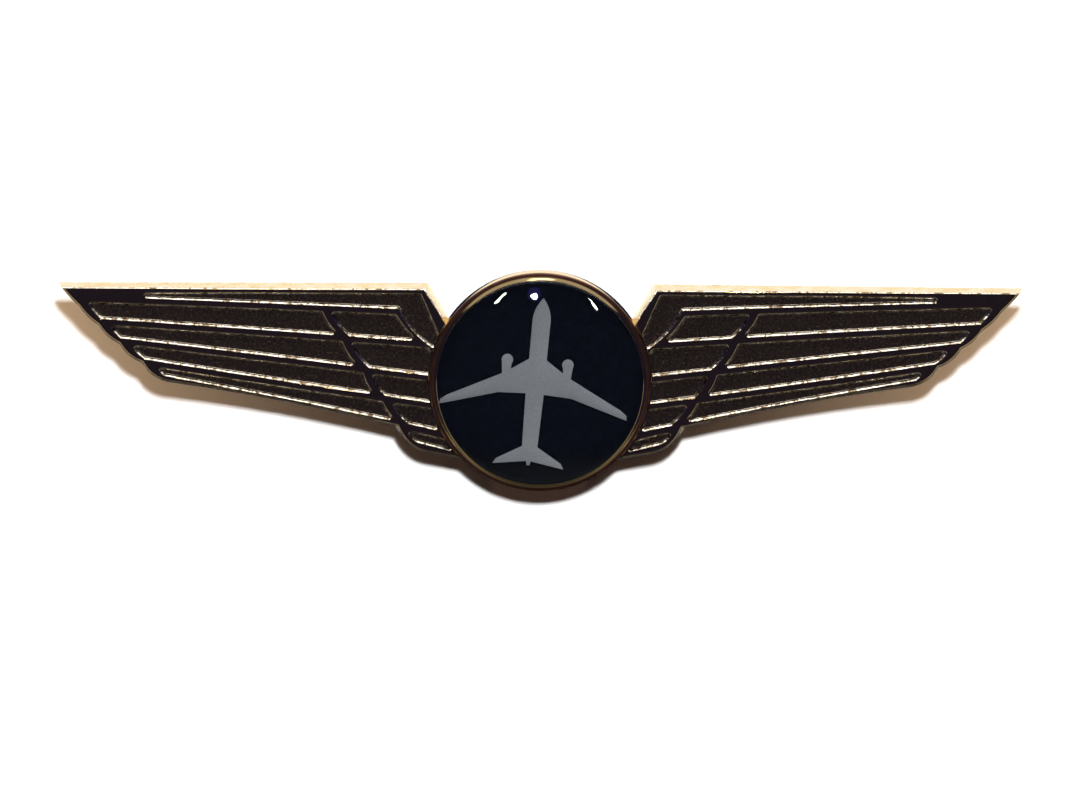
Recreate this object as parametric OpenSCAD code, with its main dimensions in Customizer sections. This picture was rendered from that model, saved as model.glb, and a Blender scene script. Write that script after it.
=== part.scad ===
// Pilot wings pin: feathered metal wings with a domed round emblem, worn on cloth.
// Three posts on the flat back go through the cloth into three butterfly clutches.
// The face looks along -Y and the posts stand out along +Y. +Z is up, +X is the
// onlooker's right. The origin is on the flat back, on the centre post's axis.

/* [Wings] */
// Span over both wing tips, at the foot of the flared side walls
span = 76.2; // [72:0.1:80]
// Thickness at the floor of the stippled cells
floor_t = 1.35; // [1.1:0.05:1.4]
// Thickness at the polished border and the feather ribs
face_t = 1.6; // [1.4:0.05:1.8]
// How far the side walls flare out from the face to the back
flare = 0.3; // [0.1:0.05:0.4]
// Width of the polished rib between two rows of cells
rib_w = 0.56; // [0.5:0.02:0.64]
// Width of the stepped rib between the long feathers and the coverts
step_rib_w = 0.78; // [0.6:0.02:0.9]
// Length of plain metal at the end of each feather
feather_end = 0.95; // [0.8:0.05:1.2]

/* [Emblem] */
// Diameter over the rim of the round boss, at the face
boss_d = 17.4; // [17.2:0.1:17.6]
// How far the boss's side wall flares out from the face to the back
boss_flare = 0.1; // [0.05:0.05:0.15]
// Diameter of the seat in the boss, and of all that lies in it
emblem_d = 16.3; // [16:0.1:16.4]
// Thickness at the top of the rim
rim_t = 2.0; // [1.8:0.05:2.2]
// Thickness under the seat
seat_t = 1.2; // [1.0:0.05:1.3]
// Thickness of the black emblem disc
disc_t = 0.3; // [0.2:0.05:0.35]
// Thickness of the airliner
airliner_t = 0.1; // [0.05:0.01:0.12]
// Depth of the clear dome at its edge
dome_edge_t = 0.4; // [0.3:0.05:0.5]
// Rise of the clear dome from its edge to its crown
dome_rise = 1.15; // [0.9:0.05:1.3]
// Span of the airliner over its wing tips
airliner_span = 14.8; // [13.5:0.1:14.8]
// Clockwise lean of the airliner, in degrees
airliner_lean = 5; // [0:0.5:8]

/* [Posts] */
// Distance of the side posts from the centre post, along the span
post_x = 15; // [14:0.1:15.5]
// Height of the side posts above the centre post
post_z = 2; // [1.8:0.1:2.2]
// Diameter of the pad that is soldered to the back
pad_d = 4.2; // [3.6:0.1:4.6]
// Thickness of the pad
pad_t = 0.35; // [0.3:0.05:0.4]
// Diameter of the shoulder that the cloth hangs on
shoulder_d = 2.0; // [1.8:0.1:2.2]
// Length of the shoulder, from the pad to the clutch
shoulder_len = 1.5; // [1.2:0.1:1.6]
// Diameter of the shank that the clutch grips
shank_d = 1.1; // [1.0:0.05:1.15]
// Distance from the back of the wings to the point
post_len = 7.4; // [7:0.1:7.8]

/* [Clutches] */
// Diameter over the rolled rim of the base
clutch_d = 9.6; // [9.4:0.1:9.8]
// Diameter of the cover
cover_d = 8.4; // [8.2:0.1:8.5]
// Height of the cover above the base plate
cover_h = 2.5; // [2.4:0.05:2.7]
// Width of a jaw's ear
ear_w = 4.6; // [4.2:0.1:4.8]
// Height of the ears above the base plate
ear_h = 4.7; // [4.2:0.1:5]
// How far each ear moves in when the two are squeezed
squeeze = 0.6; // [0.5:0.05:0.65]

/* [Hidden] */

$fn = 96;
eps = 0.01;
// How far a cutter runs on past what it cuts.
past = 1;

// The wings' art is laid out at a half span of 38.1 mm at the face, and scaled to fit.
art_half_span = 38.1;
art_k = (span / 2 - flare) / art_half_span;

// Points along a parabola from a, towards b, that bows out by rise on the left. b is left out.
function bow(a, b, rise, n = 6) =
    [for (i = [0:n - 1])
        let (t = i / n, d = b - a)
        a + d * t + 4 * rise * t * (1 - t) * [-d[1], d[0]] / norm(d)];

function reversed(pts) = [for (i = [len(pts) - 1:-1:0]) pts[i]];
function mirrored(pts) = [for (p = reversed(pts)) [-p[0], p[1]]];

// The notch below feather tip i. The tips step down and in, a little further each time.
function notch(i) = [art_half_span - 1.3 * i - 0.07 * i * i, 7.42 - 1.5 * i];
feathers = 5;
function tip_rise(i) = 0.05 + 0.06 * i;

root_top = [9.2, 7.47];
root_foot = [6.9, 3.7];
lobe_start = [11.4, -3.6];
lobe_low = [9.1, -5.68];
lobe_end = [6.3, -6.2];

// Outline of the right wing at the face, clockwise from the root's top corner.
function wing_pts() = concat(
    [root_top],
    [for (i = [0:feathers - 1]) each bow(notch(i), notch(i + 1), tip_rise(i))],
    bow(notch(feathers), lobe_start, -0.26),
    bow(lobe_start, lobe_low, 0.42),
    [lobe_low, lobe_end, [3, -5], [3, 3], root_foot]);

// Height of the lower edge of cell row i at the root and at the tips, and how far it bows up.
row_x = [7.5, 37];
row_root_z = [5.78, 3.18, 0.43, -1.79, -4];
row_tip_z = [6.8, 5.08, 3.83, 2.6, 1.65];
row_rise = [0.03, 0.04, 0.03, -0.08, 0.15];
rows = len(row_root_z);
top_line = [[row_x[0], 7.05], [24, 7.05], [row_x[1], 6.93]];

function row_pts(i, drop) =
    concat(bow([row_x[0], row_root_z[i] - drop], [row_x[1], row_tip_z[i] - drop], row_rise[i]),
           [[row_x[1], row_tip_z[i] - drop]]);

// The band between row i's lower edge and the rib under row i - 1.
module row_band(i) {
    upper = i == 0 ? top_line : row_pts(i - 1, rib_w);
    polygon(art_k * concat(row_pts(i, 0), reversed(upper)));
}

// Where each row's stepped rib starts and ends: the rounded tips of the coverts.
covert_top = [[16.7, 5.8], [15.15, 3.5], [13.45, 0.95], [11.95, -1.45]];
covert_low = [[14.6, 3.3], [13.1, 0.75], [11.9, -1.45], [9.6, -3.95]];
covert_rise = 0.32;
// The rib that closes the root cell off from the first coverts, and the cell's other corners.
root_rib = [[11.3, 5.9], [8.45, 2.7]];
root_rib_w = 0.5;
root_border = [[8.05, 3.6], [9.55, 7.05]];

module stepped_rib(a, b) {
    inner = concat(bow(a, b, covert_rise), [b]);
    outer = [for (p = inner) p + [step_rib_w, 0]];
    polygon(art_k * concat(inner, reversed(outer)));
}

function root_rib_pts() = concat(bow(root_rib[0], root_rib[1], covert_rise), [root_rib[1]]);

// Slanted cell at the root, which runs on from row 0.
module root_cell() {
    polygon(art_k * concat(root_rib_pts(), root_border, [[11.5, 7.05], [11.5, 5.9]]));
}

// Everything on the boss's side of the root rib, with the rib.
module root_zone() {
    polygon(art_k * concat([for (p = root_rib_pts()) p + [root_rib_w, 0]],
                           [[8.8, 2.4], [5, 2.4], [5, 9], [11.3 + root_rib_w, 9]]));
}

module lobe_cell() {
    polygon(art_k * concat(bow([7.3, -4.8], [10.55, -4], 0.05, 3),
                           bow([10.55, -4], [9.5, -4.95], 0.2, 4),
                           [[9.5, -4.95], [6.8, -5.6]]));
}

// Every cell of the right wing, with its corners rounded off.
corner_r = 0.18;
boss_land_r = 8.95;
module wing_cells() {
    offset(r = corner_r, $fn = 16) offset(delta = -corner_r) difference() {
        union() {
            intersection() {
                union() {
                    difference() {
                        row_band(0);
                        square(art_k * 2 * 11.4, center = true);
                    }
                    for (i = [1:rows - 1]) difference() {
                        row_band(i);
                        stepped_rib(covert_top[i - 1], covert_low[i - 1]);
                        root_zone();
                    }
                }
                translate([-feather_end, 0]) polygon(art_k * wing_pts());
            }
            root_cell();
            lobe_cell();
        }
        circle(art_k * boss_land_r);
    }
}

module both_wings() {
    children();
    mirror([1, 0]) children();
}

// Raises a flat shape, drawn as seen on the face, from one thickness to another.
module raised(from_t, to_t) {
    translate([0, -from_t, 0]) rotate([90, 0, 0]) linear_extrude(to_t - from_t) children();
}

module wing_plate() {
    color("goldenrod") difference() {
        union() {
            raised(0, floor_t) both_wings() offset(r = flare, $fn = 20) polygon(art_k * wing_pts());
            raised(0, face_t) both_wings() polygon(art_k * wing_pts());
            raised(0, floor_t) circle(d = boss_d + 2 * boss_flare);
            raised(0, rim_t) circle(d = boss_d);
        }
        raised(floor_t, rim_t) both_wings() wing_cells();
        raised(seat_t, rim_t + eps) circle(d = emblem_d);
    }
}

module emblem_disc() {
    color("black") raised(seat_t, seat_t + disc_t) circle(d = emblem_d);
}

// Right half of the airliner from nose to tail cone, about its own centre line, laid out at a
// span of 15 mm and scaled to fit.
airliner_k = airliner_span / 15;
airliner_x = -0.34;
engine_at = [2.4, 1.65];
engine_r = 0.46;
engine_neck = 0.33;
engine_pts = [for (a = [215:-15:-35]) engine_at + engine_r * [cos(a), sin(a)]];
function airliner_half() = concat(
    bow([0, 6.8], [0.72, 4.6], 0.24),
    [[0.72, 4.6], [0.7, 1.88], [engine_at[0] - engine_neck, 0.95]],
    engine_pts,
    [[engine_at[0] + engine_neck, 0.54], [6.95, -1.62], [7.45, -2], [7.5, -2.4], [2.9, -1],
     [0.72, -0.88], [0.62, -5.15], [2.6, -6.35], [2.85, -6.8], [0.2, -6.36], [0.12, -6.7]]);

module airliner_outline() {
    half = airliner_half();
    rotate(-airliner_lean) translate([airliner_x, 0])
        polygon(airliner_k * concat(half, mirrored(half)));
}

module airliner() {
    color("silver")
        raised(seat_t + disc_t, seat_t + disc_t + airliner_t) airliner_outline();
}

// Clear lens over the disc: a short cylinder under a spherical cap, revolved as one profile.
dome_r = (pow(emblem_d / 2, 2) + pow(dome_rise, 2)) / (2 * dome_rise);
dome_back_t = seat_t + disc_t;
dome_crown_t = dome_back_t + dome_edge_t + dome_rise;
module dome_profile() {
    intersection() {
        translate([0, dome_back_t]) square([emblem_d / 2, dome_edge_t + dome_rise]);
        translate([0, dome_crown_t - dome_r]) circle(dome_r, $fn = 360);
    }
}
module emblem_dome() {
    color("white", 0.3) difference() {
        rotate([90, 0, 0]) rotate_extrude() dome_profile();
        raised(dome_back_t - eps, dome_back_t + airliner_t) airliner_outline();
    }
}

// Turns a shape that stands on +Z so that it stands on the back, along +Y.
module standing(y) {
    translate([0, y, 0]) rotate([-90, 0, 0]) children();
}

// Nail post: soldered pad, shoulder, shank with a grip groove, and point.
point_len = 1.2;
point_d = 0.2;
groove_y = 5.5;
groove_r = 0.35;
module post() {
    shoulder_end = pad_t + shoulder_len;
    shank_end = post_len - point_len;
    color("goldenrod") {
        difference() {
            union() {
                standing(0) cylinder(h = pad_t, d = pad_d);
                standing(pad_t - eps) cylinder(h = shoulder_len + eps, d = shoulder_d);
                standing(shoulder_end - eps) cylinder(h = shank_end - shoulder_end + eps, d = shank_d);
                standing(shank_end) cylinder(h = point_len, d1 = shank_d, d2 = point_d);
            }
            standing(groove_y) rotate_extrude()
                translate([shank_d / 2 + groove_r * 0.6, 0]) circle(groove_r, $fn = 32);
        }
    }
}

// A clutch, in layers from the cloth outwards. All heights are from the back of the wings.
rest_gap = 0.05;
bore_gap = 0.06;
base_y = pad_t + shoulder_len + rest_gap;
base_t = 0.35;
base_top = base_y + base_t;
roll_r = 0.25;
roll_rise = 0.02;
jaw_t = 0.25;
jaw_lift = 0.47;
jaw_gap = 0.1;
outer_jaw_y = base_top + jaw_lift;
inner_jaw_y = outer_jaw_y + jaw_t + jaw_gap;
wire_r = 0.15;
wire_lift = 0.45;
wire_y = inner_jaw_y + jaw_t + wire_lift;
cover_t = 0.3;
cover_top = base_top + cover_h;

// Round base plate with a rolled rim and the bore that runs on the shank.
module clutch_base() {
    color("gold") standing(base_y) rotate_extrude() {
        bore_r = shank_d / 2 + bore_gap;
        translate([bore_r, 0]) square([clutch_d / 2 - roll_r - bore_r, base_t]);
        translate([clutch_d / 2 - roll_r, base_t + roll_rise]) circle(roll_r, $fn = 32);
    }
}

// Pressed cover with a window on each side for the ears, and a hole for the post.
cover_hole_d = 3;
cover_round_r = 0.8;
window_w = 5;
window_gap = 0.12;
window_low = outer_jaw_y - window_gap;
window_high = wire_y + wire_r + window_gap;
module cover_profile(r, h, round_r) {
    square([r - round_r, h]);
    square([r, h - round_r]);
    translate([r - round_r, h - round_r]) circle(round_r, $fn = 48);
}
module clutch_cover() {
    color("gold") difference() {
        standing(base_top) rotate_extrude() difference() {
            cover_profile(cover_d / 2, cover_h, cover_round_r);
            translate([0, -eps])
                cover_profile(cover_d / 2 - cover_t, cover_h - cover_t + eps, cover_round_r - cover_t);
            square([cover_hole_d / 2, cover_h + past]);
        }
        translate([-cover_d, window_low, -window_w / 2])
            cube([2 * cover_d, window_high - window_low, window_w]);
    }
}

// One jaw: a flat plate with an oblong hole that grips the shank, and a raised ear.
// The near end of the hole bears on the shank, and the far end leaves room for the squeeze.
grip_gap = 0.04;
jaw_back = 2.2;
ear_foot = 4.95;
ear_lean = 0.75;
ear_corner = 1.2;
ear_start = 0.5;
ear_t = 0.3;
plate_w = 4.2;
module jaw(y) {
    ear_top = base_top + ear_h;
    ear_flat = ear_top - y - ear_start - 2 * ear_corner;
    grip_r = shank_d / 2 + grip_gap;
    slot_len = squeeze + grip_gap;
    color("gold") difference() {
        intersection() {
            translate([0, 0, -ear_w / 2]) linear_extrude(ear_w) polygon([
                [-jaw_back, y], [ear_foot + ear_t / 2, y], [ear_foot + 1.25 * ear_t, y + 0.6 * ear_t],
                [ear_foot + ear_lean + ear_t, ear_top], [ear_foot + ear_lean, ear_top],
                [ear_foot, y + jaw_t], [-jaw_back, y + jaw_t]]);
            translate([-clutch_d, 0, 0]) rotate([90, 0, 90]) linear_extrude(2 * clutch_d) {
                translate([y - jaw_t, -plate_w / 2]) square([jaw_t + ear_start + ear_corner, plate_w]);
                translate([y + ear_start + ear_corner, -ear_w / 2 + ear_corner])
                    offset(r = ear_corner, $fn = 32) square([ear_flat, ear_w - 2 * ear_corner]);
            }
        }
        for (x = [0, slot_len])
            translate([x, 0, 0]) standing(y - past) cylinder(h = 2 * past, r = grip_r);
        translate([0, y - past, -grip_r]) cube([slot_len, 2 * past, 2 * grip_r]);
    }
}

// A straight length of spring wire from a to b, in the plane of the spring.
module wire(a, b) {
    d = b - a;
    translate([a[0], wire_y, a[1]]) rotate([0, 90 - atan2(d[1], d[0]), 0])
        cylinder(h = norm(d), r = wire_r, $fn = 24);
}

// Wire spring: most of a turn round the post, and two legs that push the ears apart.
coil_r = 1.5;
coil_open = 30;
leg_gap = 0.05;
leg_end = [ear_foot - leg_gap, -1.5];
module clutch_spring() {
    start = coil_r * [sin(coil_open), -cos(coil_open)];
    color("silver") {
        translate([0, wire_y, 0]) rotate([90, 0, 0]) rotate(-90 + coil_open)
            rotate_extrude(angle = 360 - 2 * coil_open) translate([coil_r, 0]) circle(wire_r, $fn = 24);
        for (side = [-1, 1]) {
            wire([side * start[0], start[1]], [side * leg_end[0], leg_end[1]]);
            translate([side * start[0], wire_y, start[1]]) sphere(wire_r + eps, $fn = 24);
        }
    }
}

module at_left() { translate([-post_x, 0, post_z]) children(); }
module at_right() { translate([post_x, 0, post_z]) children(); }

module outer_jaw() { jaw(outer_jaw_y); }
module inner_jaw() { mirror([1, 0, 0]) jaw(inner_jaw_y); }

module post_left() { at_left() post(); }
module post_centre() { post(); }
module post_right() { at_right() post(); }
module clutch_base_left() { at_left() clutch_base(); }
module clutch_base_centre() { clutch_base(); }
module clutch_base_right() { at_right() clutch_base(); }
module clutch_cover_left() { at_left() clutch_cover(); }
module clutch_cover_centre() { clutch_cover(); }
module clutch_cover_right() { at_right() clutch_cover(); }
module clutch_spring_left() { at_left() clutch_spring(); }
module clutch_spring_centre() { clutch_spring(); }
module clutch_spring_right() { at_right() clutch_spring(); }
module outer_jaw_left() { at_left() outer_jaw(); }
module outer_jaw_centre() { outer_jaw(); }
module outer_jaw_right() { at_right() outer_jaw(); }
module inner_jaw_left() { at_left() inner_jaw(); }
module inner_jaw_centre() { inner_jaw(); }
module inner_jaw_right() { at_right() inner_jaw(); }

wing_plate();
emblem_disc();
airliner();
emblem_dome();
post_left();
post_centre();
post_right();
clutch_base_left();
clutch_base_centre();
clutch_base_right();
clutch_cover_left();
clutch_cover_centre();
clutch_cover_right();
clutch_spring_left();
clutch_spring_centre();
clutch_spring_right();
outer_jaw_left();
outer_jaw_centre();
outer_jaw_right();
inner_jaw_left();
inner_jaw_centre();
inner_jaw_right();
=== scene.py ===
"""Looks of the pilot wings pin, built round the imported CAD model. Everything is in metres."""
import math

import bmesh
import bpy
from mathutils import Matrix, Quaternion, Vector
from mathutils.geometry import tessellate_polygon


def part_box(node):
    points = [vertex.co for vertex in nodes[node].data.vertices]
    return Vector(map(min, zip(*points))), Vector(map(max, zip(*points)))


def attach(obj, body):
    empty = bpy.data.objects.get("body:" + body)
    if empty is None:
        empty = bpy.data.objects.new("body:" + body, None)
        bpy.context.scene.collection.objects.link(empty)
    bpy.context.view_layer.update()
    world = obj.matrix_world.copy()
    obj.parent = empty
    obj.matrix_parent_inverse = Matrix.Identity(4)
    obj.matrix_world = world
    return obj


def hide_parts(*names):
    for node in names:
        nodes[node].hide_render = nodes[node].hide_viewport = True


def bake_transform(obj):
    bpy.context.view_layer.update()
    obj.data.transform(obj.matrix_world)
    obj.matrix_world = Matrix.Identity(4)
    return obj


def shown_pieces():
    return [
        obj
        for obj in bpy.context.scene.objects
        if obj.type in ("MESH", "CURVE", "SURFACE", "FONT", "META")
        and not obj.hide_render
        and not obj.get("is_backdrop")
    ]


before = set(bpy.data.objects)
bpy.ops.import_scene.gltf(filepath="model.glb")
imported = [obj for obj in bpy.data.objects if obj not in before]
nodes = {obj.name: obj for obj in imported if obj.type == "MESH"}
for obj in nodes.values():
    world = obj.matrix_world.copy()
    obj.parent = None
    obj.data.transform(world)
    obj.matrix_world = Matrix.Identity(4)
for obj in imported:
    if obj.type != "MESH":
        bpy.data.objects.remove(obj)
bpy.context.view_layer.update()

MM = 0.001
SIDES = ("left", "centre", "right")
TURN = 2 * math.pi


# ---------------------------------------------------------------- outlines from the CAD frame

# Vertices of a CAD mesh closer than this are one corner.
SAME_CORNER = 0.2e-6
SAME_HEIGHT = 1e-6
SHORTEST_SIDE = 4e-6
# A face whose normal has a smaller y than this looks to the front.
FRONT_NORMAL = -0.99
# How far a mitred corner may run out, in offsets.
LONGEST_MITRE = 1.6
SHARPEST_MITRE = 0.1


def corner_key(mesh, index):
    return tuple(round(c / SAME_CORNER) for c in mesh.vertices[index].co)


def flat_loops(node, y):
    """Closed outlines in (x, z) of a node's faces at height y that look along -Y.

    The metal lies on the left of each outline.
    """
    mesh = nodes[node].data
    place, edges = {}, set()
    for face in mesh.polygons:
        if face.normal.y > FRONT_NORMAL or abs(face.center.y - y) > SAME_HEIGHT:
            continue
        ring = [corner_key(mesh, i) for i in face.vertices]
        for i, key in zip(face.vertices, ring):
            place[key] = mesh.vertices[i].co
        edges.update(zip(ring, ring[1:] + ring[:1]))
    after = {a: b for a, b in edges if (b, a) not in edges}
    loops = []
    while after:
        start = key = min(after)
        loop = []
        while key in after:
            loop.append((place[key].x, place[key].z))
            key = after.pop(key)
        if key == start:
            loops.append(without_repeats(loop))
    return loops


def without_repeats(loop):
    """The loop without points that nearly repeat the next one."""
    following = loop[1:] + loop[:1]
    return [Vector(p) for p, q in zip(loop, following) if math.dist(p, q) > SHORTEST_SIDE]


def area(loop):
    return sum(a.x * b.y - b.x * a.y for a, b in zip(loop, loop[1:] + loop[:1])) / 2


def moved_out(loop, d):
    """The loop moved d to its right, corner by corner, so that its sides stay parallel."""
    moved = []
    for before, p, after in zip(loop[-1:] + loop[:-1], loop, loop[1:] + loop[:1]):
        a, b = (p - before).normalized(), (after - p).normalized()
        right_a, right_b = Vector((a.y, -a.x)), Vector((b.y, -b.x))
        way = (right_a + right_b).normalized()
        mitre = min(LONGEST_MITRE, 1 / max(way.dot(right_a), SHARPEST_MITRE))
        moved.append(p + way * d * mitre)
    return moved


# ---------------------------------------------------------------- mesh helpers

SHARP_DEG = 38


def add_ring(bm, loop, y):
    return [bm.verts.new((p.x, y, p.y)) for p in loop]


def join_rings(bm, a, b, finish):
    for i in range(len(a)):
        j = (i + 1) % len(a)
        bm.faces.new((a[i], a[j], b[j], b[i])).material_index = finish


def fill(bm, rings, finish):
    """Closes a flat area bounded by rings with triangles."""
    verts = [v for ring in rings for v in ring]
    for tri in tessellate_polygon([[v.co.xz.to_3d() for v in ring] for ring in rings]):
        bm.faces.new([verts[i] for i in tri]).material_index = finish


def revolve(bm, profile, finishes, steps=240):
    """A solid of revolution about Y.

    profile is (radius, y) from axis to axis, and finishes has one entry per stretch of it.
    """
    turns = [TURN * i / steps for i in range(steps)]
    rings = []
    for r, y in profile:
        if r == 0:
            rings.append([bm.verts.new((0, y, 0))] * steps)
        else:
            rings.append([bm.verts.new((r * math.cos(t), y, r * math.sin(t))) for t in turns])
    for a, b, finish in zip(rings, rings[1:], finishes):
        for i in range(steps):
            j = (i + 1) % steps
            corners = list(dict.fromkeys((a[i], a[j], b[j], b[i])))
            bm.faces.new(corners).material_index = finish


def arc(centre, radius, start, end, steps):
    """Points (r, y) on an arc; angles in degrees from +r towards +y."""
    turns = [math.radians(start + (end - start) * i / steps) for i in range(steps + 1)]
    return [(centre[0] + radius * math.cos(t), centre[1] + radius * math.sin(t)) for t in turns]


def smooth(mesh, sharp_deg):
    mesh.shade_smooth()
    mesh.set_sharp_from_angle(angle=math.radians(sharp_deg))


def add_object(name, data):
    obj = bpy.data.objects.new(name, data)
    bpy.context.scene.collection.objects.link(obj)
    return obj


def finish_mesh(bm, name, materials, sharp_deg=SHARP_DEG):
    bmesh.ops.recalc_face_normals(bm, faces=bm.faces)
    mesh = bpy.data.meshes.new(name)
    bm.to_mesh(mesh)
    bm.free()
    for m in materials:
        mesh.materials.append(m)
    smooth(mesh, sharp_deg)
    return add_object(name, mesh)


# ---------------------------------------------------------------- materials


class Shader:
    """A new material with one Principled shader and texture coordinates in millimetres."""

    def __init__(self, name, **values):
        self.material = bpy.data.materials.new(name)
        self.material.use_nodes = True
        self.tree = self.material.node_tree
        self.bsdf = self.tree.nodes["Principled BSDF"]
        for socket, value in values.items():
            self.bsdf.inputs[socket.replace("_", " ")].default_value = value
        coords = self.add("ShaderNodeTexCoord").outputs["Object"]
        self.mm = self.scaled(coords, (1 / MM,) * 3)
        self.normal = None

    def add(self, kind):
        return self.tree.nodes.new(kind)

    def link(self, a, b):
        self.tree.links.new(a, b)

    def scaled(self, socket, scale):
        m = self.add("ShaderNodeMapping")
        m.inputs["Scale"].default_value = scale
        self.link(socket, m.inputs["Vector"])
        return m.outputs["Vector"]

    def noise(self, per_mm, detail, stretch=None, distortion=0):
        n = self.add("ShaderNodeTexNoise")
        n.inputs["Scale"].default_value = per_mm
        n.inputs["Detail"].default_value = detail
        n.inputs["Distortion"].default_value = distortion
        self.link(self.scaled(self.mm, stretch) if stretch else self.mm, n.inputs["Vector"])
        return n.outputs["Fac"]

    def cells(self, per_mm):
        n = self.add("ShaderNodeTexVoronoi")
        n.inputs["Scale"].default_value = per_mm
        self.link(self.mm, n.inputs["Vector"])
        return n.outputs["Distance"]

    def range(self, socket, low, high):
        """The middle of a noise's values, spread from low to high."""
        r = self.add("ShaderNodeMapRange")
        limits = {"From Min": 0.3, "From Max": 0.7, "To Min": low, "To Max": high}
        for name, value in limits.items():
            r.inputs[name].default_value = value
        self.link(socket, r.inputs["Value"])
        return r.outputs["Result"]

    def colours(self, socket, *stops):
        ramp = self.add("ShaderNodeValToRGB")
        points = ramp.color_ramp.elements
        while len(points) < len(stops):
            points.new(0.5)
        for point, (at, colour) in zip(points, stops):
            point.position, point.color = at, (*colour, 1)
        self.link(socket, ramp.inputs["Fac"])
        return ramp.outputs["Color"]

    def bump(self, socket, height_mm):
        b = self.add("ShaderNodeBump")
        b.inputs["Strength"].default_value = 1
        b.inputs["Distance"].default_value = height_mm * MM
        self.link(socket, b.inputs["Height"])
        if self.normal:
            self.link(self.normal, b.inputs["Normal"])
        self.normal = b.outputs["Normal"]
        self.link(self.normal, self.bsdf.inputs["Normal"])

    def set(self, **sockets):
        for name, socket in sockets.items():
            self.link(socket, self.bsdf.inputs[name.replace("_", " ")])


GOLD_LIGHT = (0.83, 0.61, 0.29)
GOLD = (0.78, 0.55, 0.24)
GOLD_PALE = (0.88, 0.76, 0.55)
# Near white: painted highlight on the edges.
EDGE_HIGHLIGHT_WHITE = (0.96, 0.90, 0.80)
# Painted shade that breaks the edges' highlight lines into dashes.
EDGE_DASH_SHADE = (0.22, 0.16, 0.10)
# Painted shade for the cells' recessed floors.
CELL_SHADE = (0.20, 0.145, 0.10)
CELL_SHADE_DEEP = (0.115, 0.082, 0.070)
# Painted shade for the band round the boss.
BAND_SHADE = (0.21, 0.095, 0.06)
BAND_SHADE_DEEP = (0.13, 0.055, 0.035)
BRASS = (0.80, 0.58, 0.25)
BRASS_LIGHT = (0.90, 0.70, 0.36)
STEEL = (0.45, 0.45, 0.46)
STEEL_LIGHT = (0.62, 0.62, 0.64)
INK_DEEP = (0.0014, 0.0024, 0.006)
INK = (0.003, 0.005, 0.010)
SILVER_DEEP = (0.27, 0.29, 0.31)
SILVER = (0.33, 0.35, 0.37)


def polished_gilt():
    s = Shader("polished_gilt", Metallic=1.0)
    s.set(
        Base_Color=s.colours(s.noise(0.6, 4), (0.3, GOLD), (0.7, GOLD_LIGHT)),
        Roughness=s.range(s.noise(2.5, 6), 0.05, 0.13),
    )
    s.bump(s.noise(3.0, 3), 0.0012)
    s.bump(s.noise(22, 2, stretch=(0.15, 1, 1)), 0.0003)
    return s.material


def stippled_gilt():
    """The sandblasted floors of the cells, darkened with painted shade in the recesses, which
    leaves sparse gold flecks that read as glints.
    """
    s = Shader("stippled_gilt", Metallic=1.0)
    grain = s.noise(7.0, 3, distortion=0.4)
    shade_patches = s.noise(6.0, 3)
    s.set(
        Base_Color=s.colours(shade_patches, (0.40, CELL_SHADE_DEEP), (0.62, CELL_SHADE), (0.80, GOLD)),
        Roughness=s.range(grain, 0.3, 0.45),
    )
    s.bump(s.cells(8.0), 0.012)
    s.bump(grain, 0.009)
    return s.material


def edge_gilt():
    """Polished, but drawn by hand over the edges: the highlights along them wobble. Its colour is
    painted highlight, near white in patches, and dark patches of painted shade break the highlight
    lines into dashes.
    """
    s = Shader("edge_gilt", Metallic=1.0)
    highlight_dashes = s.noise(2.2, 3, distortion=0.6)
    s.set(
        Base_Color=s.colours(highlight_dashes, (0.39, EDGE_DASH_SHADE), (0.48, GOLD_PALE), (0.66, EDGE_HIGHLIGHT_WHITE)),
        Roughness=s.range(s.noise(3, 4), 0.08, 0.2),
    )
    s.bump(s.noise(1.9, 3), 0.068)
    s.bump(s.noise(6, 3), 0.012)
    return s.material


def cast_gilt():
    """The side walls of the wings, as cast."""
    s = Shader("cast_gilt", Metallic=1.0)
    s.set(
        Base_Color=s.colours(s.noise(0.9, 4), (0.3, GOLD_LIGHT), (0.62, GOLD_PALE)),
        Roughness=s.range(s.noise(4, 4), 0.2, 0.32),
    )
    s.bump(s.noise(2.6, 3), 0.01)
    s.bump(s.noise(9, 3), 0.002)
    return s.material


def shaded_band_gilt():
    """The band round the boss, darkened with painted shade."""
    s = Shader("shaded_band_gilt", Metallic=1.0)
    s.set(
        Base_Color=s.colours(s.noise(0.8, 4), (0.3, BAND_SHADE_DEEP), (0.7, BAND_SHADE)),
        Roughness=s.range(s.noise(3, 4), 0.35, 0.48),
    )
    s.bump(s.noise(2, 3), 0.004)
    return s.material


def plated_back():
    s = Shader("plated_back", Metallic=1.0)
    s.set(
        Base_Color=s.colours(s.noise(0.35, 5), (0.3, GOLD), (0.7, GOLD_LIGHT)),
        Roughness=s.range(s.noise(1.2, 5), 0.2, 0.38),
    )
    s.bump(s.noise(2.0, 5), 0.006)
    s.bump(s.noise(26, 2, stretch=(0.05, 1, 1)), 0.0012)
    return s.material


def black_enamel():
    s = Shader("black_enamel", Roughness=0.4, Specular_IOR_Level=0.04)
    s.set(Base_Color=s.colours(s.noise(3, 4), (0.3, INK_DEEP), (0.7, INK)))
    s.bump(s.noise(6, 3), 0.001)
    return s.material


def silver_print():
    s = Shader("silver_print", Metallic=0.1, Specular_IOR_Level=0.1)
    s.set(
        Base_Color=s.colours(s.noise(9, 3), (0.3, SILVER_DEEP), (0.7, SILVER)),
        Roughness=s.range(s.noise(12, 2), 0.42, 0.55),
    )
    s.bump(s.noise(14, 2), 0.002)
    return s.material


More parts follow.
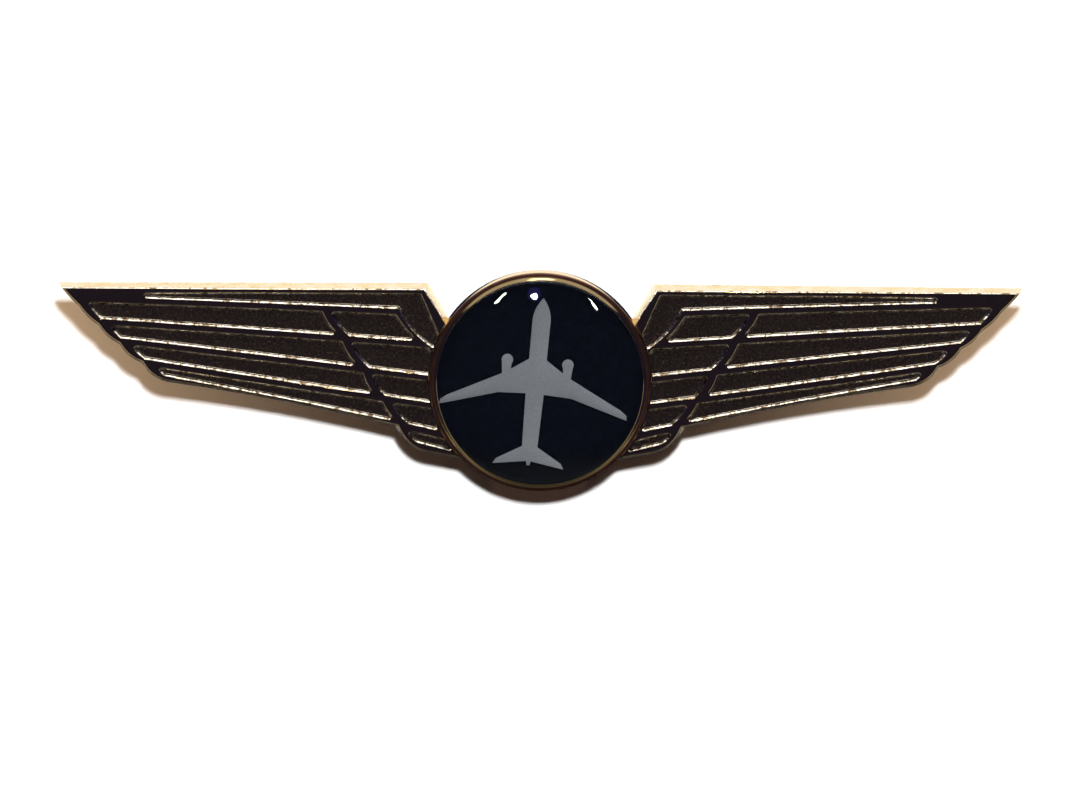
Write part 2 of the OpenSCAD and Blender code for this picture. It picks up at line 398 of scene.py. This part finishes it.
def clear_dome():
    """Clear resin that throws no shadow on the emblem under it."""
    s = Shader("clear_dome", Base_Color=(1, 1, 1, 1), Transmission_Weight=1.0, IOR=1.5)
    s.set(Roughness=s.range(s.noise(0.5, 3), 0.0, 0.004))
    s.bump(s.noise(0.12, 1), 0.001)
    clear = s.add("ShaderNodeBsdfTransparent")
    mix = s.add("ShaderNodeMixShader")
    s.link(s.add("ShaderNodeLightPath").outputs["Is Shadow Ray"], mix.inputs["Fac"])
    s.link(s.bsdf.outputs["BSDF"], mix.inputs[1])
    s.link(clear.outputs["BSDF"], mix.inputs[2])
    s.link(mix.outputs["Shader"], s.tree.nodes["Material Output"].inputs["Surface"])
    return s.material


def post_gilt():
    s = Shader("post_gilt", Metallic=1.0)
    s.set(
        Base_Color=s.colours(s.noise(1.5, 3), (0.3, GOLD), (0.7, GOLD_LIGHT)),
        Roughness=s.range(s.noise(5, 3), 0.1, 0.22),
    )
    s.bump(s.noise(16, 2, stretch=(0.1, 1, 0.1)), 0.0015)
    return s.material


def clutch_brass():
    s = Shader("clutch_brass", Metallic=1.0)
    s.set(
        Base_Color=s.colours(s.noise(0.9, 5), (0.3, BRASS), (0.7, BRASS_LIGHT)),
        Roughness=s.range(s.noise(2.2, 5), 0.12, 0.26),
    )
    s.bump(s.noise(3.5, 3), 0.004)
    s.bump(s.noise(24, 2, stretch=(1, 0.1, 1)), 0.0008)
    return s.material


def spring_steel():
    s = Shader("spring_steel", Metallic=1.0)
    s.set(
        Base_Color=s.colours(s.noise(2, 3), (0.3, STEEL), (0.7, STEEL_LIGHT)),
        Roughness=s.range(s.noise(8, 3), 0.18, 0.32),
    )
    s.bump(s.noise(30, 2, stretch=(0.2, 1, 1)), 0.001)
    return s.material


# ---------------------------------------------------------------- wings and boss

# The finishes of the casting, in the order of its materials.
POLISHED, EDGE, STIPPLED, CAST, DARK, BACK = range(6)

plate_lo, plate_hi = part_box("wing_plate")
dome_lo, dome_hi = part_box("emblem_dome")
disc_lo, disc_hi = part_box("emblem_disc")

rim_y = plate_lo.y
# Beyond half the span there are only wings, and their frontmost faces are the polished lands.
face_y = min(
    f.center.y for f in nodes["wing_plate"].data.polygons if abs(f.center.x) > plate_hi.x / 2
)
seat_r = disc_hi.x
rim_r = max(p.length for loop in flat_loops("wing_plate", rim_y) for p in loop)

# How each edge falls away from the polished lands, as (distance out from the land's edge, depth)
# in mm. The first two stretches are still land, and the last is the wall's foot.
CELL_EDGE = [(-0.12, 0), (-0.09, 0), (-0.065, 0.005), (-0.035, 0.024), (0.045, 0.104),
             (0.07, 0.14), (0.09, 0.19), (0.105, 0.228), (0.13, 0.246), (0.165, 0.25)]
OUTER_EDGE = [(-0.2, 0), (-0.15, 0.002), (-0.1, 0.018), (-0.05, 0.052), (-0.012, 0.11),
              (0.006, 0.19)]
# The rounded foot of the side walls: (distance out from the land's edge, y) in mm.
WING_FOOT = [(0.27, -0.16), (0.3, -0.08), (0.279, -0.02), (0.225, 0)]

BOSS_FLARE = 0.1 * MM
# The boss's wall: its chamfer at the back, how far out it still is beside the polished lands,
# and the band of painted shade that it rounds over into.
BOSS_FOOT = 0.06 * MM
WALL_LEAN = 0.04 * MM
BAND_DEPTH = 0.16 * MM
BAND_ROUND = 0.07 * MM
# The bead inside the band slopes in and up to the rim: (distance out from the seat, depth) in mm.
BEAD = [(0.32, 0.15), (0.28, 0.14), (0.07, 0.02), (0.045, 0.004), (0.02, 0.002), (0, 0.02)]


def edge_finishes(count, foot):
    """The finish of each of an edge's stretches, from the land to the wall's foot."""
    return [POLISHED] * 2 + [EDGE] * (count - 3) + [foot]


def wing(loops, sign):
    """One wing as a closed solid: polished lands, cells with sloped walls, flared side walls."""
    bm = bmesh.new()
    land = []
    for loop in loops:
        if loop[0].x * sign < 0:
            continue
        is_cell = area(loop) < 0
        edge, foot = (CELL_EDGE, STIPPLED) if is_cell else (OUTER_EDGE, CAST)
        rings = [add_ring(bm, moved_out(loop, d * MM), face_y + depth * MM) for d, depth in edge]
        land.append(rings[0])
        for a, b, finish in zip(rings, rings[1:], edge_finishes(len(edge) - 1, foot)):
            join_rings(bm, a, b, finish)
        if is_cell:
            fill(bm, [rings[-1]], STIPPLED)
            continue
        lower = [add_ring(bm, moved_out(loop, d * MM), y * MM) for d, y in WING_FOOT]
        for a, b in zip([rings[-1]] + lower, lower):
            join_rings(bm, a, b, CAST)
        fill(bm, [lower[-1]], BACK)
    fill(bm, land, POLISHED)
    return bm


def boss():
    """The round boss: an upright wall with a band of painted shade at its front, a bead and the
    seat.
    """
    foot_r = rim_r + BOSS_FLARE
    wall = [(0, 0), (foot_r - BOSS_FOOT, 0), (foot_r, -BOSS_FOOT), (rim_r + WALL_LEAN, face_y)]
    corner_centre = (rim_r - BAND_ROUND, rim_y + BAND_DEPTH + BAND_ROUND)
    corner = arc(corner_centre, BAND_ROUND, -5, -85, 5)
    bead = [(seat_r + r * MM, rim_y + depth * MM) for r, depth in BEAD]
    profile = wall + corner + bead + [(seat_r, disc_hi.y), (0, disc_hi.y)]
    # DARK is the band round the boss, coloured with painted shade.
    finishes = [BACK, POLISHED, POLISHED] + [DARK] * (len(corner) + 2) + [POLISHED] * 4
    bm = bmesh.new()
    revolve(bm, profile, finishes + [DARK, BACK])
    return bm


def joined(solids):
    """The solids as one, united at a scale of millimetres, which suits the solver's tolerances."""
    for obj in solids:
        obj.data.transform(Matrix.Scale(1 / MM, 4))
    body = solids[0]
    for other in solids[1:]:
        join = body.modifiers.new("join", "BOOLEAN")
        join.operation, join.solver, join.object = "UNION", "MANIFOLD", other
    united = body.evaluated_get(bpy.context.evaluated_depsgraph_get())
    mesh = bpy.data.meshes.new_from_object(united)
    body.modifiers.clear()
    mesh.transform(Matrix.Scale(MM, 4))
    body.data = mesh
    for other in solids[1:]:
        bpy.data.objects.remove(other)
    return body


def wing_plate():
    materials = [polished_gilt(), edge_gilt(), stippled_gilt(), cast_gilt(), shaded_band_gilt(),
                 plated_back()]
    loops = flat_loops("wing_plate", face_y)
    solids = [finish_mesh(boss(), "wings", materials)]
    solids += [finish_mesh(wing(loops, sign), "wing", materials) for sign in (-1, 1)]
    plate = joined(solids)
    smooth(plate.data, SHARP_DEG)
    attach(plate, "root")
    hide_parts("wing_plate")


# How far the dome's foot is sunk into the disc and the boss, so that no air shows between them.
DOME_SINK = 0.03 * MM
# How far in front of the rim the crown would meet the dome's side without the rolled edge.
DOME_EDGE_RISE = 0.06 * MM
DOME_ROLL = 0.09 * MM
# The roll turns this far inwards, and the crown starts where it ends, a little inside its centre.
ROLL_END_DEG = -72
CROWN_INSET = 1.3 * DOME_ROLL
CROWN_STEPS = 28
DOME_SHARP_DEG = 60


def emblem_dome():
    """Clear lens: a crown that is part of a ball, with a rolled edge."""
    edge_r = dome_hi.x + DOME_SINK / 2
    edge_y = rim_y - DOME_EDGE_RISE
    rise = edge_y - dome_lo.y
    ball_r = (edge_r**2 + rise**2) / (2 * rise)
    crown_r = edge_r - CROWN_INSET
    crown = [(r, dome_lo.y + ball_r - math.sqrt(ball_r**2 - r**2))
             for r in (crown_r * i / CROWN_STEPS for i in range(CROWN_STEPS + 1))]
    foot_y = disc_lo.y + DOME_SINK
    roll = arc((edge_r - DOME_ROLL, edge_y + DOME_ROLL), DOME_ROLL, 0, ROLL_END_DEG, 6)
    profile = [(0, foot_y), (edge_r, foot_y)] + roll + crown[::-1]
    bm = bmesh.new()
    revolve(bm, profile, [0] * (len(profile) - 1))
    dome = finish_mesh(bm, "dome", [clear_dome()], DOME_SHARP_DEG)
    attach(dome, "root")
    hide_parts("emblem_dome")
    return dome


# ---------------------------------------------------------------- CAD pieces that stay

CAD_SHARP_DEG = 34
BEVEL_SEGMENTS = 2
WELD = 1e-7
ON_THE_CUT = 1e-8


def dress(node, material, edge_mm=0.03):
    """Gives a CAD node its material, smooth curves and softly broken edges."""
    obj = nodes[node]
    obj.data.materials.clear()
    obj.data.materials.append(material)
    smooth(obj.data, CAD_SHARP_DEG)
    if edge_mm:
        weld = obj.modifiers.new("weld", "WELD")
        weld.merge_threshold = WELD
        soft = obj.modifiers.new("edges", "BEVEL")
        soft.width, soft.segments = edge_mm * MM, BEVEL_SEGMENTS
        soft.limit_method, soft.angle_limit = "ANGLE", math.radians(CAD_SHARP_DEG)
        soft.harden_normals = True


# The halves of a spring stop this far short of its middle, so that they don't touch.
HALF_GAP = 0.001 * MM


def spring_half(side, jaw, hand, steel):
    """The half of a clutch's spring on one side of its post, named after the jaw it pushes."""
    node = f"clutch_spring_{side}"
    lo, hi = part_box(node)
    middle = (lo.x + hi.x) / 2
    cut_x = middle + hand * HALF_GAP
    bm = bmesh.new()
    bm.from_mesh(nodes[node].data)
    bmesh.ops.remove_doubles(bm, verts=bm.verts, dist=WELD)
    cut = bmesh.ops.bisect_plane(
        bm, geom=bm.verts[:] + bm.edges[:] + bm.faces[:], dist=ON_THE_CUT,
        plane_co=(cut_x, 0, 0), plane_no=(-hand, 0, 0), clear_outer=True,
    )
    rim = [e for e in cut["geom_cut"] if isinstance(e, bmesh.types.BMEdge)]
    bmesh.ops.holes_fill(bm, edges=rim)
    half = finish_mesh(bm, f"spring_{side}_{jaw}", [steel])
    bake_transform(half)
    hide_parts(node)


def back_hardware():
    gilt, brass, steel = post_gilt(), clutch_brass(), spring_steel()
    for side in SIDES:
        dress(f"post_{side}", gilt)
        for piece in ("clutch_base", "clutch_cover", "outer_jaw", "inner_jaw"):
            dress(f"{piece}_{side}", brass, edge_mm=0.04)
        spring_half(side, "outer", 1, steel)
        spring_half(side, "inner", -1, steel)


# ---------------------------------------------------------------- lamps and papers

WHITE = (1, 1, 1)
WARM_WHITE = (1.0, 0.96, 0.88)
PINK_GLOW = (1.0, 0.55, 0.4)
ORANGE_GLOW = (1.0, 0.68, 0.40)
BLUE_HALO = (0.2, 0.15, 1.0)
STROKE_WHITE = (0.95, 1.0, 0.85)
PAPER_GREY = (0.9, 0.9, 0.9, 1)

FLOOR_Z = -40 * MM
FLOOR_HALF = 1.2
# The sheet stands close behind the middle of the pin and falls back towards the tips, as far as
# BEND_END; from there it runs on flat. The fall is SHEET_BEND times x squared.
SHEET_Y = 8.2 * MM
SHEET_BEND = 3.3
BEND_END = 60 * MM
BEND_STEPS = 48
SHEET_HALF = 0.3
SHEET_TOP = 1.2
VEIL_GAP = 0.1 * MM


def facing(azimuth, elevation):
    """Unit vector from the object. Azimuth 0 is straight in front (-Y), 90 is to the right."""
    a, e = math.radians(azimuth), math.radians(elevation)
    return Vector((math.sin(a) * math.cos(e), -math.cos(a) * math.cos(e), math.sin(e)))


def softbox(name, azimuth, elevation, distance, size, radiance, only, colour=WHITE, disk=False,
            turn=0):
    """A flat lamp that looks at the object. It lights only the collection given."""
    lamp = bpy.data.lights.new(name, "AREA")
    lamp.shape = "DISK" if disk else "RECTANGLE"
    lamp.size, lamp.size_y = size
    lamp.energy = radiance * math.pi * size[0] * size[1]
    lamp.color = colour
    obj = add_object(name, lamp)
    way = facing(azimuth, elevation)
    obj.location = way * distance
    obj.rotation_mode = "QUATERNION"
    spin = Quaternion((0, 0, 1), math.radians(turn))
    obj.rotation_quaternion = way.to_track_quat("Z", "Y") @ spin
    obj.visible_camera = False
    obj.light_linking.receiver_collection = only


def collection(name, objects):
    group = bpy.data.collections.new(name)
    for obj in objects:
        group.objects.link(obj)
    return group


def card(name, verts, faces, material):
    mesh = bpy.data.meshes.new(name)
    mesh.from_pydata(verts, [], faces)
    mesh.materials.append(material)
    obj = add_object(name, mesh)
    obj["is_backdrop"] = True
    return obj


def paper(name, one_sided):
    """Matt white paper. The one-sided sheet lets the camera look in from behind."""
    mat = bpy.data.materials.new(name)
    mat.use_nodes = True
    tree = mat.node_tree
    tree.nodes.remove(tree.nodes["Principled BSDF"])
    surface = tree.nodes["Material Output"].inputs["Surface"]
    matt = tree.nodes.new("ShaderNodeBsdfDiffuse")
    matt.inputs["Color"].default_value = PAPER_GREY
    if not one_sided:
        tree.links.new(matt.outputs[0], surface)
        return mat
    mix = tree.nodes.new("ShaderNodeMixShader")
    clear = tree.nodes.new("ShaderNodeBsdfTransparent")
    back = tree.nodes.new("ShaderNodeNewGeometry")
    tree.links.new(back.outputs["Backfacing"], mix.inputs["Fac"])
    tree.links.new(matt.outputs[0], mix.inputs[1])
    tree.links.new(clear.outputs[0], mix.inputs[2])
    tree.links.new(mix.outputs[0], surface)
    return mat


def veil_black():
    mat = bpy.data.materials.new("veil_black")
    mat.use_nodes = True
    bsdf = mat.node_tree.nodes["Principled BSDF"]
    bsdf.inputs["Base Color"].default_value = (0, 0, 0, 1)
    bsdf.inputs["Specular IOR Level"].default_value = 0
    return mat


def sheet_point(x):
    return x, SHEET_Y + SHEET_BEND * x * x


def backdrop():
    """A sheet of paper behind the pin, curved about an upright axis, with a veil before it.

    The veil is black and only diffuse rays meet it: it keeps the pin's own glow off the sheet.
    """
    curve = [sheet_point(BEND_END * i / BEND_STEPS) for i in range(-BEND_STEPS, BEND_STEPS + 1)]
    end_y = curve[0][1]
    path = [(-SHEET_HALF, end_y), *curve, (SHEET_HALF, end_y)]
    verts = [(x, y, z) for x, y in path for z in (FLOOR_Z, SHEET_TOP)]
    faces = [(2 * i, 2 * i + 2, 2 * i + 3, 2 * i + 1) for i in range(len(path) - 1)]
    sheet = card("backdrop", verts, faces, paper("backdrop_paper", True))
    sheet.data.shade_smooth()
    veil = card("veil", [(x, y - VEIL_GAP, z) for x, y, z in verts], faces, veil_black())
    veil.visible_camera = veil.visible_glossy = False
    veil.visible_transmission = veil.visible_shadow = False
    return sheet


def floor():
    w = FLOOR_HALF
    corners = [(x, y, FLOOR_Z) for x, y in ((-w, -w), (w, -w), (w, w), (-w, w))]
    return card("floor", corners, [(0, 1, 2, 3)], paper("floor_paper", False))


def light_papers():
    """A small strong lamp throws the pin's shadow on the sheet, and coloured glows soften it."""
    ground_card, sheet = floor(), backdrop()
    for obj in (sheet, ground_card):
        obj.visible_glossy = obj.visible_shadow = obj.visible_diffuse = False
    papers = collection("papers", [sheet])
    ground = collection("ground", [ground_card])
    softbox("floor_light", 0, 90, 1.2, (4, 4), 1.5, ground)
    softbox("paper_key", 1, 14.7, 0.2, (0.008, 0.008), 3100, papers)
    softbox("paper_glow", 0, -40, 0.9, (0.1, 0.1), 16, papers, PINK_GLOW)
    for sign in (-1, 1):
        softbox(f"paper_side_{sign}", sign * 97, 0, 0.6, (0.1, 0.2), 150, papers, ORANGE_GLOW)


def light_pin(dome):
    """Lamps for the pin alone. Those on the dome are seen in it as the photo's bright marks."""
    pin = collection("pin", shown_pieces())
    metal = collection("metal", [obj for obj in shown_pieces() if obj is not dome])
    clear = collection("clear", [dome])
    emblem = collection("emblem", [nodes["emblem_disc"], nodes["airliner"]])

    softbox("overhead", 0, 84, 0.5, (1.0, 0.26), 3.4, pin)
    softbox("ceiling", 0, 50, 0.6, (1.0, 0.36), 0.42, pin)
    softbox("rim_glint", 1, 50, 0.6, (0.12, 0.08), 3.5, pin)
    softbox("back_top", 180, 33, 0.7, (0.5, 0.55), 1.2, pin, WARM_WHITE)
    softbox("dot", -1.8, 17.25, 0.65, (0.022, 0.022), 60, pin, disk=True)
    for sign in (-1, 1):
        softbox(f"front_side_{sign}", sign * 34, -22, 0.6, (0.22, 0.3), 0.5, metal)
        softbox(f"back_side_{sign}", 180 + sign * 48, 0, 0.6, (0.45, 0.5), 1.6, pin)

    softbox("dot_halo", -1.8, 17.8, 0.66, (0.048, 0.048), 0.8, clear, BLUE_HALO, disk=True)
    softbox("stroke_left", -12.1, 16.4, 0.6, (0.047, 0.006), 60, clear, STROKE_WHITE, turn=45)
    softbox("stroke_right", 15.8, 15.05, 0.6, (0.048, 0.006), 60, clear, STROKE_WHITE, turn=-58)
    softbox("emblem", 0, 55, 0.6, (0.5, 0.3), 2.2, emblem)


# ---------------------------------------------------------------- room and camera

# How bright the room looks in reflections, by the height of the direction: straight down is -1.
ROOM = [(-1, 0.03), (-0.87, 0.05), (-0.72, 0.16), (-0.6, 0.09), (-0.5, 0.02)]
# From this place on the ramp upwards, the room is nearly black and a little blue.
ROOM_DARK_FROM = 0.27
ROOM_DARK = (0.014, 0.013, 0.040, 1)


def grey(level):
    return (level, level, level, 1)


def room():
    """A dark room with a soft glow from low in front. The camera itself sees plain pale grey."""
    world = bpy.data.worlds.new("room")
    bpy.context.scene.world = world
    world.use_nodes = True
    tree = world.node_tree
    add, link = tree.nodes.new, tree.links.new
    split = add("ShaderNodeSeparateXYZ")
    link(add("ShaderNodeTexCoord").outputs["Generated"], split.inputs[0])
    height = add("ShaderNodeMapRange")
    height.inputs["From Min"].default_value = -1
    link(split.outputs["Z"], height.inputs["Value"])
    ramp = add("ShaderNodeValToRGB")
    points = ramp.color_ramp.elements
    points[1].position, points[1].color = ROOM_DARK_FROM, ROOM_DARK
    points[0].color = grey(ROOM[0][1])
    for at, level in ROOM[1:]:
        points.new((at + 1) / 2).color = grey(level)
    link(height.outputs["Result"], ramp.inputs["Fac"])
    reflected, seen = tree.nodes["Background"], add("ShaderNodeBackground")
    link(ramp.outputs["Color"], reflected.inputs["Color"])
    seen.inputs["Color"].default_value = PAPER_GREY
    mix = add("ShaderNodeMixShader")
    link(add("ShaderNodeLightPath").outputs["Is Camera Ray"], mix.inputs["Fac"])
    link(reflected.outputs[0], mix.inputs[1])
    link(seen.outputs[0], mix.inputs[2])
    link(mix.outputs[0], tree.nodes["World Output"].inputs["Surface"])


CAMERA_ELEVATION = 9
CAMERA_ROLL = 0.37
CAMERA_AIM = Vector((-0.47 * MM, 0, -1.57 * MM))
SHOWN_WIDTH = 85.3 * MM


def camera():
    """A 90 mm lens a little above the face, aimed below and left of the emblem, hardly rolled."""
    data = bpy.data.cameras.new("camera")
    data.lens, data.sensor_width = 90, 36
    data.clip_start, data.clip_end = 0.01, 20
    cam = add_object("camera", data)
    way = facing(0, CAMERA_ELEVATION)
    cam.location = CAMERA_AIM + way * (SHOWN_WIDTH * data.lens / data.sensor_width)
    cam.rotation_mode = "QUATERNION"
    roll = Quaternion((0, 0, 1), math.radians(CAMERA_ROLL))
    cam.rotation_quaternion = (-way).to_track_quat("-Z", "Y") @ roll
    bpy.context.scene.camera = cam


wing_plate()
dome = emblem_dome()
dress("emblem_disc", black_enamel(), edge_mm=0)
dress("airliner", silver_print(), edge_mm=0.015)
back_hardware()
light_papers()
light_pin(dome)
room()
camera()

bpy.context.scene.view_settings.view_transform = "Standard"
